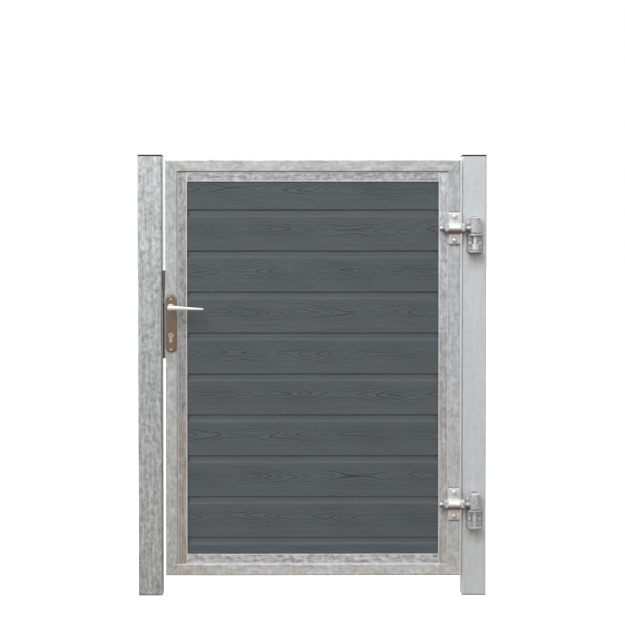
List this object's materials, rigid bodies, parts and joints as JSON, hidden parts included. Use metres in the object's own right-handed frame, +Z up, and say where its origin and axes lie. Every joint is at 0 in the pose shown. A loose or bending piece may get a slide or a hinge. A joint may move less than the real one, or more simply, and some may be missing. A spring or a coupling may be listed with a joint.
{
  "type": "garden gate",
  "caption": "Single garden gate: galvanised frame filled with anthracite composite planks, hung between square posts on adjustable pin hinges, with lever lock and keep.",
  "frame": {"origin": "on the ground line, midway between the two posts and on the posts' centre plane", "axes": "+X across the opening towards the hinge post, +Y away from the side that the leaf opens to, +Z up"},
  "size_m": [1.16, 0.144, 1.47],
  "materials": {
    "galvanised_post": "hot-dip galvanised steel, dull and mottled with vertical runs",
    "galvanised_tube": "hot-dip galvanised steel, soft sheen, slight brown runs low down",
    "galvanised_channel": "hot-dip galvanised steel with strongly marbled zinc",
    "composite_plank": "anthracite wood-plastic composite with an embossed oak grain",
    "cap_plastic": "black moulded plastic",
    "hinge_zinc": "bright zinc-coated steel",
    "bright_zinc": "zinc-plated fasteners",
    "stainless": "stainless steel, brushed",
    "polished_plate": "polished stainless steel that mirrors warm ground colours",
    "satin_lever": "satin stainless look, very light",
    "lock_steel": "zinc-plated lock parts",
    "cylinder_brass": "nickel-brass key cylinder"
  },
  "bodies": {
    "posts": {"latch_post": "galvanised_post", "hinge_post": "galvanised_post", "latch_post_cap": "cap_plastic", "hinge_post_cap": "cap_plastic", "keep_plate": "stainless", "keep_screws": "bright_zinc", "upper_hinge_bracket": "hinge_zinc", "lower_hinge_bracket": "hinge_zinc", "upper_hinge_pin": "hinge_zinc", "lower_hinge_pin": "hinge_zinc", "upper_bracket_bolts": "bright_zinc", "lower_bracket_bolts": "bright_zinc"},
    "leaf": {"latch_stile": "galvanised_tube", "hinge_stile": "galvanised_tube", "top_rail": "galvanised_tube", "bottom_rail": "galvanised_tube", "left_channel": "galvanised_channel", "right_channel": "galvanised_channel", "top_channel": "galvanised_channel", "bottom_channel": "galvanised_channel", "channel_screws": "bright_zinc", "plank_1": "composite_plank", "plank_2": "composite_plank", "plank_3": "composite_plank", "plank_4": "composite_plank", "plank_5": "composite_plank", "plank_6": "composite_plank", "plank_7": "composite_plank", "plank_8": "composite_plank", "plank_9": "composite_plank", "plank_10": "composite_plank", "upper_saddle": "hinge_zinc", "lower_saddle": "hinge_zinc", "upper_saddle_bolts": "bright_zinc", "lower_saddle_bolts": "bright_zinc", "upper_eyebolt": "hinge_zinc", "lower_eyebolt": "hinge_zinc", "upper_eyebolt_nuts": "hinge_zinc", "lower_eyebolt_nuts": "hinge_zinc", "lock_case": "lock_steel", "lock_faceplate": "stainless", "faceplate_screws": "stainless", "front_backplate": "polished_plate", "rear_backplate": "polished_plate", "backplate_screws": "stainless", "profile_cylinder": "cylinder_brass", "cylinder_screw": "stainless", "lever_spring": "lock_steel"},
    "handles": {"front_lever": "satin_lever", "rear_lever": "satin_lever", "spindle": "lock_steel", "follower": "lock_steel"},
    "latch": {"latch_bolt": "lock_steel"},
    "deadbolt": {"deadbolt": "lock_steel"},
    "key_plug": {"front_plug": "cylinder_brass", "rear_plug": "cylinder_brass", "lock_cam": "lock_steel"}
  },
  "joints": [
    {"name": "leaf_swing", "type": "hinge", "parent": "posts", "child": "leaf", "pos_m": [0.54, -0.06, 0], "axis": [0, 0, 1], "range_deg": [0, 170]},
    {"name": "lever_turn", "type": "hinge", "parent": "leaf", "child": "handles", "pos_m": [-0.469, -0.028, 0.962], "axis": [0, 1, 0], "range_deg": [0, 40], "stiffness_Nm_per_rad": 1, "springref_deg": -34.38},
    {"name": "latch_slide", "type": "slide", "parent": "leaf", "child": "latch", "axis": [1, 0, 0], "range_m": [0, 0.0115]},
    {"name": "cylinder_turn", "type": "hinge", "parent": "leaf", "child": "key_plug", "pos_m": [-0.469, -0.028, 0.87], "axis": [0, 1, 0], "range_deg": [0, 360]},
    {"name": "deadbolt_slide", "type": "slide", "parent": "leaf", "child": "deadbolt", "axis": [-1, 0, 0], "range_m": [0, 0.014]}
  ],
  "couplings": [
    {"joint": "latch_slide", "follows": "lever_turn", "m_per_rad": 0.01647},
    {"joint": "cylinder_turn", "follows": "deadbolt_slide", "rad_per_m": 448.8}
  ]
}
